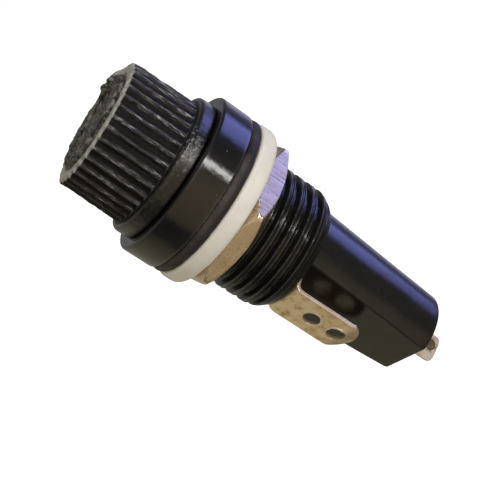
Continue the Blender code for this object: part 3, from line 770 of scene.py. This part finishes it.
def barrel_ring(z, inset=0.0):
    """A circle with a flat on its -Y side and soft corners, as points round from the flat."""
    radius = np.interp(-z, [-THREAD_END, -body_low], BARREL_R) - inset
    flat = FLAT_Y - inset
    half = math.acos(min(1.0, flat / radius))
    edge = radius * math.sin(half)
    shift = BARREL_CORNER / radius
    line = [np.array([(edge - BARREL_CORNER) * (k / 16 - 1), -flat]) for k in range(33)]
    arc = []
    for k in range(110):
        a = half - math.pi / 2 + shift + (TURN - 2 * half - 2 * shift) * k / 109
        arc.append(radius * np.array([math.cos(a), math.sin(a)]))
    row = (line + bent(line[-1], np.array([edge, -flat]), arc[0], 5)[1:-1] + arc
           + bent(arc[-1], np.array([-edge, -flat]), line[0], 5)[1:-1])
    return np.array([(x, y, z) for x, y in row])


def barrel():
    """The bore from its floor up, then the outer skin down and over its end."""
    rings = [barrel_ring(BARREL_TOP + (body_low + BARREL_ROUND - BARREL_TOP) * k / 30)
             for k in range(31)]
    for a in (math.pi / 2 * k / 6 for k in range(1, 7)):
        rings.append(barrel_ring(body_low + BARREL_ROUND * (1 - math.sin(a)),
                                 BARREL_ROUND * (1 - math.cos(a))))
    face = rings[-1]
    rings.extend(face * (share, share, 1) for share in (0.8, 0.5, 0.2))
    outer = np.array(rings)
    lean = (outer[..., 0] * BARREL_LEAN.x + outer[..., 1] * BARREL_LEAN.y) / BARREL_R[1]
    outer[..., 2] -= BARREL_SKEW * lean * smooth(-outer[..., 2], -BARREL_TOP, -body_low - 0.5)
    outer[:-3, :, :2] *= 1 + (0.004 * lump(outer[:-3], 0.25, 2))[..., None]
    angles = np.arctan2(face[:, 1], face[:, 0])
    bore = [xyz(r, angles, np.full(len(angles), z)) for r, z in (
        (0.5, BARREL_FLOOR), (1.6, BARREL_FLOOR), (BARREL_BORE_R, BARREL_FLOOR),
        (BARREL_BORE_R, BARREL_FLOOR + 6), (BARREL_BORE_R, BARREL_TOP))]
    return np.concatenate([bore, outer])


piece("holder_barrel", barrel(), "holder", barrel_finish, sharp=50)

# ---- gasket, washer and nut ----
RING_BORE_R = 6.48


def uneven(amount, grain, seed):
    def shape(r, a, z):
        return r + amount * smooth(r, 7.2, 7.9) * lump(xyz(r, a, z), grain, seed), z
    return shape


def gasket_masks(r, a, z):
    down = gasket_high - z
    line = (1 - smooth(down, 0.02, 0.22)) * smooth(lump(xyz(r, a, z), 0.5, 6), -0.6, 0.4)
    return {"rim": line, "dusty": 1 - smooth(down, 0.25, 0.85)}


turned("gasket", [
    (RING_BORE_R, 0.0, 0.0), (RING_BORE_R, gasket_high, 0.0), (8.02, gasket_high, 0.25),
    (8.22, gasket_high * 0.5, 0.3), (8.02, 0.0, 0.25)], 220, "holder", gasket_finish,
    ("sealing_gasket",), shape=uneven(0.07, 1.3, 4), masks=gasket_masks, step=0.12)
turned("washer", [
    (RING_BORE_R, washer_low, 0.12), (RING_BORE_R, washer_high, 0.12),
    (8.27, washer_high, 0.42), (8.27, washer_low, 0.8)], 220, "washer", washer_finish,
    ("panel_washer",), shape=uneven(0.012, 0.4, 7), step=0.3, bend_steps=7)

NUT_FLATS = 14.1
NUT_R = 8.0
NUT_BORE_R = THREAD_R - THREAD_DEPTH + 0.12
NUT_FIRST_SIDE = math.radians(58.0)
NUT_WORN = 110.0            # higher for sharper corners
# the chamfers: their radius in the face, and its growth per millimetre of depth
NUT_FRONT = (7.3, 1.15)
NUT_REAR = (7.12, 1.45)


def nut_shape(r, a, z):
    share = (r - NUT_BORE_R) / (NUT_R - NUT_BORE_R)
    total = sum(np.maximum(np.cos(a - NUT_FIRST_SIDE - math.radians(60.0 * k)), 0.0) ** NUT_WORN
                for k in range(6))
    side = NUT_FLATS / 2 / total ** (1 / NUT_WORN)
    for face_r, growth, depth in ((*NUT_FRONT, nut_high - z), (*NUT_REAR, z - nut_low)):
        limit = face_r + growth * depth
        side = -np.log(np.exp((7 - side) * 45) + np.exp((7 - limit) * 45)) / 45 + 7
    bore = thread_radius(a, z, 0.1)
    return bore + share * (side - bore), z


def nut_masks(r, a, z):
    side = np.round((a - NUT_FIRST_SIDE) / math.radians(60.0)).astype(int) % 6
    return {"lay": (side % 2 == 1).astype(float)}


turned("nut", [(NUT_BORE_R, nut_low, 0.0), (NUT_BORE_R, nut_high, 0.0),
               (NUT_R, nut_high, 0.0, 0.05), (NUT_R, nut_low, 0.0)], 288, "nut", nut_plating,
       ("hex_nut",), shape=nut_shape, masks=nut_masks, sharp=50, step=0.14)

# ---- cap ----
CAP_RIBS = 36
RIB_PHASE = 7.8
RIB_DEPTH = 0.36
KNURL_TOP_R = 6.27
KNURL_LOW_R = 6.42
COLLAR_R = 7.1
COLLAR_TOP = 5.93
CAP_TOP = 12.4
CAP_SKEW = 0.2              # how far the end is out of square
MARKS = 14
MARK_TOP = CAP_TOP + 0.42
CHIP_AT = to_window * 3.9 - to_camera * 2.9


def rib_valley(a, z):
    """0 on a rib's crest and 1 along the bottom of the groove beside it."""
    pitch = TURN / CAP_RIBS
    off = (a - math.radians(RIB_PHASE)) / pitch
    wander = 0.07 * lump(xyz(6.0, a, z * 0.5), 1.3, 21)
    off = (off - np.round(off)) * pitch * 6.35 + wander
    return 1.0 - smooth(np.abs(off), 0.17, 0.52)


def skew(r, a, z):
    lean = (np.cos(a) * to_window.x + np.sin(a) * to_window.y) * r / 6.3
    return CAP_SKEW * lean * smooth(z, 8.0, CAP_TOP)


def cap_shape(r, a, z):
    spot = xyz(r, a, z)
    top = z > CAP_TOP - 0.1
    outer = np.interp(z, [COLLAR_TOP, CAP_TOP], [KNURL_LOW_R, KNURL_TOP_R])
    knurl = (r > 5.2) & (z > COLLAR_TOP + 0.18) & (r < 6.6)
    valley = rib_valley(a, z)
    wear = lump(spot, 2.1, 1) * 0.6 + lump(spot, 5.0, 2) * 0.4
    long_wear = lump(spot * np.array([1.0, 1.0, 0.25]), 1.6, 6)
    base = outer - RIB_DEPTH * (1.0 + 0.18 * long_wear)
    up = np.where(r > base, base + (r - base) * (1 - valley), r)
    crest = (1 - valley) * smooth(r, 5.9, 6.2)
    up = up + crest * (0.07 * wear + 0.05 * long_wear - 0.02)
    chip = smooth(lump(spot, 1.1, 9), 0.45, 0.9)
    end = smooth(z, CAP_TOP - 0.7, CAP_TOP - 0.1) + smooth(-z, -6.9, -6.3)
    r = np.where(knurl, up - crest * 0.16 * chip * end, r)
    bevel = (r > 6.65) & (z < COLLAR_TOP + 0.2)
    r = r + np.where(bevel, 0.02 * lump(spot, 1.6, 8) + 0.012 * lump(spot, 4.0, 9), 0.0)
    z = z + skew(r, a, z)
    # the end: a ring with raised marks, worn and uneven, and a chipped ridge
    spot = xyz(r, a, z)
    rough = 0.05 * lump(spot, 1.7, 12) + 0.03 * lump(spot, 4.4, 13)
    pitch = TURN / MARKS
    off = (a - math.radians(6.0)) / pitch
    off = np.abs(off - np.round(off)) * pitch * r
    mark = (1 - smooth(off, 0.16, 0.3)) * smooth(r, 3.62, 3.78) * (1 - smooth(r, 4.42, 4.56))
    rings = 0.03 * np.cos(r * TURN / 0.62) * smooth(r, 0.4, 1.0) * (1 - smooth(r, 3.0, 3.3))
    lip = 0.1 * smooth(r, 5.35, 5.7) * (1 - smooth(r, 5.8, 6.2)) * (0.7 + 0.5 * lump(spot, 0.9, 3))
    near = np.hypot(spot[..., 0] - CHIP_AT.x, spot[..., 1] - CHIP_AT.y)
    ridge = 0.62 * (1 - smooth(near, 0.5, 1.9)) * (0.7 + 0.6 * lump(spot, 1.9, 17))
    return r, z + np.where(top & (r < 6.3), rough + 0.08 * mark + rings + lip + ridge, 0.0)


def cap_masks(r, a, z):
    knurl = (z > COLLAR_TOP + 0.1) & (r > 5.4)
    crest = np.where(knurl, (1 - rib_valley(a, z)) ** 1.5, 0.0)
    z = z - skew(r, a, z)
    rim = smooth(r, 4.95, 5.2) * smooth(z, CAP_TOP - 0.22, CAP_TOP - 0.1)
    bearing = np.arctan2(np.cos(a) * to_window.x + np.sin(a) * to_window.y,
                         np.cos(a) * to_camera.x + np.sin(a) * to_camera.y)
    # crest paint is full from the camera's side round to the window and faint on the side away
    # from the lamps: painted light and shade over the crests' wear
    key_lit_side = smooth(bearing, -1.5, -0.4) * (1 - 0.5 * smooth(bearing, 1.9, 2.6))
    collar = smooth(r, 6.5, 6.8) * (z < COLLAR_TOP + 0.1)
    # collar scratches show only in a narrow band of bearings under the key lamp's highlight: a
    # painted highlight over real scratches
    key_glare_band = smooth(bearing, -0.1, 0.2) * (1 - smooth(bearing, 0.5, 0.75))
    edge = smooth(z, COLLAR_TOP - 1.7, COLLAR_TOP - 0.6) * collar * (0.06 + 0.94 * key_glare_band)
    return {"crest": crest * (1 - rim) * (0.22 + 0.78 * key_lit_side),
            "face": np.where(z > CAP_TOP - 0.2, 1.0, 0.0) * (1 - rim), "rim": rim,
            "collar": edge, "gloss": collar}


turned("cap", [
    (0.12, CAP_TOP + 0.05, 0.0, 0.16), (3.25, CAP_TOP + 0.08, 0.15, 0.1),
    (3.45, MARK_TOP, 0.12, 0.09), (4.68, MARK_TOP, 0.16, 0.1), (4.85, CAP_TOP, 0.12, 0.12),
    (6.1, CAP_TOP, 0.1, 0.06), (KNURL_TOP_R, CAP_TOP - 0.18, 0.08, 0.15),
    (KNURL_LOW_R, COLLAR_TOP + 0.22, 0.0, 0.03), (KNURL_LOW_R, COLLAR_TOP, 0.06, 0.1),
    (COLLAR_R, COLLAR_TOP, 0.42, 0.2), (COLLAR_R, cap_low, 0.12, 0.3), (4.62, cap_low, 0.0, 2.5),
    (4.62, 10.62, 0.0, 1.0), (0.12, 10.62, 0.0)], 720, "cap", cap_finish, ("cap_shell",),
    shape=cap_shape, masks=cap_masks, loop=False)

# ---- metal inside the cap ----
SLEEVE_THREAD = (math.radians(4.0), -1.25)      # angle and Z where its ridge starts
SLEEVE_TURNS = 3


def sleeve_shape(r, a, z):
    turn = ((a - SLEEVE_THREAD[0]) % TURN) / TURN
    k = np.round(z - SLEEVE_THREAD[1] - turn)
    ridge = 0.33 * (1 - smooth(np.abs(z - SLEEVE_THREAD[1] - turn - k), 0.12, 0.34))
    there = (k >= 0) & (k < SLEEVE_TURNS) & (np.abs(r - 4.1) < 0.02)
    return r + np.where(there, ridge, 0.0), z


sleeve = turned("sleeve", [
    (0.1, sleeve_high, 0.0, 0.8), (4.55, sleeve_high, 0.2, 1.5), (4.55, 4.45, 0.05),
    (4.1, 4.2, 0.05, 0.5), (4.1, 2.3, 0.0, 0.06), (4.1, -1.75, 0.0), (3.9, -2.05, 0.08),
    (3.02, -2.32, 0.12), (2.97, sleeve_low, 0.05), (2.7, sleeve_low, 0.05),
    (2.68, -1.95, 0.1), (3.6, -1.75, 0.05, 2.0), (3.6, 10.2, 0.0), (0.1, 10.2, 0.0)],
    128, "cap", nickel, ("cap_sleeve",), shape=sleeve_shape, loop=False)
carve(sleeve, [block((-4, -0.25, sleeve_low - 1), (4, 0.25, -2.6), turn)
               for turn in (45.0, 135.0)], sharp=35)


def shell_shape(r, a, z):
    groove = 0.33 * (1 - smooth(helix_offset(a, z, 4.0, -2.25, 1.0), 0.18, 0.37))
    there = (r > 4.2) & (r < 4.6) & (z > -1.7) & (z < 2.15)
    return np.where(there, np.maximum(r, 4.25 + groove), r), z


turned("shell", [
    (4.62, shell_high, 0.08), (5.38, shell_high, 0.1), (5.38, 3.48, 0.03), (4.75, 3.48, 0.03),
    (4.75, -9.58, 0.0, 3.0), (3.05, -9.58, 0.0), (3.05, -10.08, 0.0), (2.75, -10.08, 0.0),
    (2.75, -9.18, 0.05), (4.3, -9.18, 0.1, 2.0), (4.25, -1.6, 0.05, 0.07), (4.25, 1.75, 0.05),
    (4.62, 2.1, 0.05)], 128, "holder", nickel, ("contact_shell",), shape=shell_shape, sharp=45)

# ---- sprung contact and fuse ----
turned("plunger", [
    (0.1, plunger_low, 0.0, 0.6), (2.3, plunger_low, 0.1), (2.45, plunger_low + 0.15, 0.1),
    (2.45, spring_low - 0.02, 0.08), (1.6, spring_low - 0.02, 0.05),
    (1.55, spring_low + 1.0, 0.12), (1.25, plunger_high, 0.12), (0.1, plunger_high, 0.0)],
    96, "fuse", nickel, ("contact_plunger",), sharp=40, loop=False, step=0.4)

SPRING_R = 2.055
WIRE_R = 0.205
SPRING_TURNS = 8
SPRING_STEPS = 40           # rings in each turn


def coil(low, high):
    lead = (high - low) / SPRING_TURNS
    slope = math.atan2(lead, TURN * SPRING_R)
    rings = []
    for k in range(SPRING_TURNS * SPRING_STEPS + 1):
        t = TURN * k / SPRING_STEPS
        out = np.array([math.cos(t), math.sin(t), 0.0])
        up = np.array([math.sin(slope) * math.sin(t), -math.sin(slope) * math.cos(t),
                       math.cos(slope)])
        centre = out * SPRING_R + np.array([0, 0, low + lead * k / SPRING_STEPS])
        rings.append([centre + WIRE_R * (math.cos(s) * out + math.sin(s) * up)
                      for s in around(12)])
    return rings


piece("spring", coil(spring_low + 0.21, spring_high - 0.21), "spring", spring_finish,
      ("cap_spring",), sharp=50)

FUSE_R = 2.6
for name, node, end, way in (("fuse_end_front", "fuse_cap_front", fuse_high, -1),
                             ("fuse_end_rear", "fuse_cap_rear", fuse_low, 1)):
    turned(name, [
        (0.1, end, 0.0, 0.6), (FUSE_R, end, 0.3, 0.8), (FUSE_R, end + 4.5 * way, 0.0),
        (FUSE_R - 0.02, end + 5.2 * way, 0.1), (FUSE_R - 0.22, end + 5.2 * way, 0.02),
        (FUSE_R - 0.22, end + 0.35 * way, 0.0), (0.1, end + 0.35 * way, 0.0)],
        96, "fuse", fuse_plating, (node,), sharp=45, loop=False, step=1.2)
turned("fuse_glass_tube", [(r, z, 0.05) for r, z in (
    (1.85, fuse_high - 0.38), (2.35, fuse_high - 0.38), (2.35, fuse_low + 0.38),
    (1.85, fuse_low + 0.38))], 96, "fuse", glass, ("fuse_tube",), sharp=45, step=3.0)


def sagging_wire(low, high):
    """A fine wire, slightly waved, with a bead at its middle."""
    rings = []
    for t in (k / 40 for k in range(41)):
        bow = 0.16 * math.sin(math.pi * t) * math.sin(5 * t)
        thick = 0.07 + 0.05 * math.exp(-((t - 0.5) / 0.06) ** 2)
        centre = np.array([bow, bow * 0.6, low + (high - low) * t])
        rings.append([centre + thick * np.array([math.cos(s), math.sin(s), 0.0])
                      for s in around(10)])
    return rings


piece("fuse_wire_link", sagging_wire(fuse_low + 0.37, fuse_high - 0.37), "fuse", wire_finish,
      ("fuse_element",), sharp=60)

# ---- terminals ----
STRIP_T = 0.4


def ribbon(path, half_width, shift=0.0, corner=0.09):
    """A bent strip. path holds (y, z, normal y, normal z) on its inner face; half_width(z)."""
    rings, edges = [], []
    for y, z, ny, nz in path:
        half = half_width(z)
        ease = min(corner, half * 0.6)
        ring, edge = [], []

        def add(x, h, wear_and_highlight):
            ring.append((shift + x, y + ny * h, z + nz * h))
            edge.append(wear_and_highlight)

        # the rounded edges carry the edge mask, which the brass finish paints light: a painted
        # highlight
        for cx, ch, start in ((1, 1, 0), (-1, 1, 90), (-1, -1, 180), (1, -1, 270)):
            for step in range(5):
                a = math.radians(start + 22.5 * step)
                add(cx * (half - ease) + ease * math.cos(a),
                    STRIP_T / 2 + ch * (STRIP_T / 2 - corner) + corner * math.sin(a),
                    1.0 if 0 < step < 4 else 0.4)
            if ch == cx:
                for step in range(1, 8):    # points across the wide faces
                    add(cx * (half - ease) * (1 - step / 4), STRIP_T if ch == 1 else 0.0, 0.0)
        rings.append(ring)
        edges.append(edge)
    return np.array(rings), np.array(edges)


def bend_path(start, stretches, spacing=0.2):
    """(y, z, ny, nz) from a start along runs (length,) and bends (degrees, radius)."""
    y, z, heading = start
    path = [(y, z, math.sin(heading), -math.cos(heading))]
    for amount, *radius in stretches:
        if radius:
            angle = math.radians(amount)
            count = max(3, round(abs(angle) * max(radius[0], 0.3) / 0.08))
            turn = angle / count
            stride = 2 * radius[0] * math.sin(abs(turn) / 2)
        else:
            count = max(1, round(amount / spacing))
            turn = 0.0
            stride = amount / count
        for _ in range(count):
            y += math.cos(heading + turn / 2) * stride
            z += math.sin(heading + turn / 2) * stride
            heading += turn
            path.append((y, z, math.sin(heading), -math.cos(heading)))
    return path


SIDE_W = 4.8
SIDE_FACE_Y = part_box("side_terminal")[0][1] / MM
FOOT_Z = -10.5
FOOT_Y = -3.2
SIDE_BEND = 0.5
SIDE_KINK_Z = -16.95
SIDE_KINK = 15.0
SIDE_TIP_R = 2.76
SIDE_HOLES_Z = (-13.95, -16.72)
SIDE_HOLE_R = 1.0

tip_run = (SIDE_KINK_Z - 0.25 - side_low) / math.cos(math.radians(SIDE_KINK)) - 0.02
coarse = bend_path((FOOT_Y, FOOT_Z, math.pi),
                   [(FOOT_Y - (SIDE_FACE_Y + STRIP_T + SIDE_BEND),), (90.0, SIDE_BEND),
                    (FOOT_Z - SIDE_BEND - SIDE_KINK_Z - 0.25,), (SIDE_KINK, 1.9), (tip_run,)])
side_path = []
for a, b in zip(coarse, coarse[1:]):
    side_path.append(a)
    if b[1] < -17.0:        # closer rows where the tip narrows
        for t in (0.25, 0.5, 0.75):
            side_path.append(tuple(p + (q - p) * t for p, q in zip(a, b)))
side_path.append(coarse[-1])
tip_z = side_path[-1][1]


def side_half(z):
    up = z - (tip_z + SIDE_TIP_R)
    if up > -0.2:
        return SIDE_W / 2
    inside = SIDE_TIP_R ** 2 - min(up * up, SIDE_TIP_R ** 2)
    return max(0.12, min(SIDE_W / 2, math.sqrt(inside)))


side_rings, side_edges = ribbon(side_path, side_half)
side = piece("side_lug", side_rings, "holder", side_finish, ("side_terminal",),
             masks={"edge": side_edges})
carve(side, [rod((0, -8, z), (0, -3.4, z), SIDE_HOLE_R) for z in SIDE_HOLES_Z], bevel=0.07)


def hole_burr(name, z0, radius, thick, thin, toward, seed):
    """The edge that a blunt punch turns up round a hole, thickest at one side."""
    outer = sorted((z + nz * STRIP_T, y + ny * STRIP_T) for y, z, ny, nz in side_path if z < -11.6)
    rings = []
    for a in around(72):
        side_on = 0.5 + 0.5 * math.cos(a - math.radians(toward))
        out = np.array([math.cos(a), 0.0, math.sin(a)])
        wave = 1.0 + 0.35 * float(lump([out * 1.3], 1.6, seed)[0])
        size = (thin + (thick - thin) * side_on ** 1.5) * wave
        spot = out * (radius - 0.5 * size)
        z = z0 + spot[2]
        y = float(np.interp(z, *zip(*outer)))
        rings.append([(spot[0] + size * math.cos(t) * out[0], y - 0.7 * size * math.sin(t) + 0.02,
                       z + size * math.cos(t) * out[2]) for t in around(10)])
    # the burr takes the edge mask all round, so it is painted light: a painted highlight
    piece(name, rings, "holder", side_finish, loop=True, masks={"edge": np.full((72, 10), 1.2)})


hole_burr("hole_edge_1", SIDE_HOLES_Z[0], 1.02, 0.17, 0.03, -75.0, 31)
hole_burr("hole_edge_2", SIDE_HOLES_Z[1], 1.05, 0.15, 0.03, 35.0, 32)
turned("side_foot", [(r, FOOT_Z + up, 0.04) for r, up in (
    (2.78, 0.02), (2.78, 0.38), (3.9, 0.38), (3.9, 0.02))], 96, "holder", side_finish, sharp=40)

END_W = 2.75
END_SHIFT = 0.3
END_FAR_Y = 1.6
END_BEND = 0.6
END_TURN = math.radians(70.0)
EYE = np.array([0.58, END_FAR_Y, end_low + 0.85])
EYE_R = 0.6
foot_top = body_low - 0.02
spin = np.array([[math.cos(END_TURN), -math.sin(END_TURN), 0],
                 [math.sin(END_TURN), math.cos(END_TURN), 0], [0, 0, 1]])


def end_half(z):
    up = END_BEND - (z - end_low)
    if up <= 0:
        return END_W / 2
    return END_W / 2 - END_BEND + math.sqrt(max(0.0, END_BEND ** 2 - up * up))


end_path = bend_path((-1.9, foot_top, 0.0), [(END_FAR_Y - END_BEND + 1.9,), (-90.0, END_BEND),
                                             (foot_top - END_BEND - end_low,)], 0.12)
end_rings, end_edges = ribbon(end_path, end_half, END_SHIFT)
far = np.hypot(end_rings[..., 0] - EYE[0], end_rings[..., 2] - EYE[2])
# a dark ring round the eye: painted shade
eye_shade = (1 - smooth(far, 0.6, 1.0)) * (end_rings[..., 2] < foot_top - 0.8)
end_lug = piece("end_lug", end_rings @ spin.T, "holder", end_finish, ("end_terminal",),
                masks={"eye": eye_shade, "edge": end_edges})
carve(end_lug, [rod(*(Vector(spin @ np.array([EYE[0], y, EYE[2]])) for y in (0.4, 2.6)),
                    EYE_R, 32)], bevel=0.04)

# a dark brown film across the eye: a painted shade sheet where the hole shows shade
film = np.array([[(EYE[0] + r * math.cos(a), END_FAR_Y - STRIP_T / 2 + lift,
                   EYE[2] + r * math.sin(a)) for a in around(32)]
                 for r, lift in ((0.02, 0.07), (0.25, 0.08), (0.45, 0.1), (0.585, 0.14),
                                 (0.6, 0.0), (0.585, -0.14), (0.45, -0.1), (0.25, -0.08),
                                 (0.02, -0.07))])
film[..., 1] += 0.03 * lump(film, 3.0, 5)
piece("eye_shade_film", film @ spin.T, "holder", end_finish, masks={"eye": np.full((9, 32), 1.3)})

turned("rivet", [
    (0.1, rivet_low, 0.0, 0.3), (0.62, rivet_low + 0.03, 0.2), (1.05, rivet_low + 0.2, 0.2),
    (1.12, foot_top - STRIP_T - 0.02, 0.03), (0.74, foot_top - STRIP_T - 0.02, 0.02),
    (0.74, body_low + 1.8, 0.0, 1.0), (1.32, body_low + 1.8, 0.05), (1.2, rivet_high, 0.1),
    (0.1, rivet_high, 0.0)], 64, "holder", nickel, ("end_rivet",), sharp=40, loop=False, step=0.4)
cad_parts["end_contact"].data.materials[0] = nickel.material
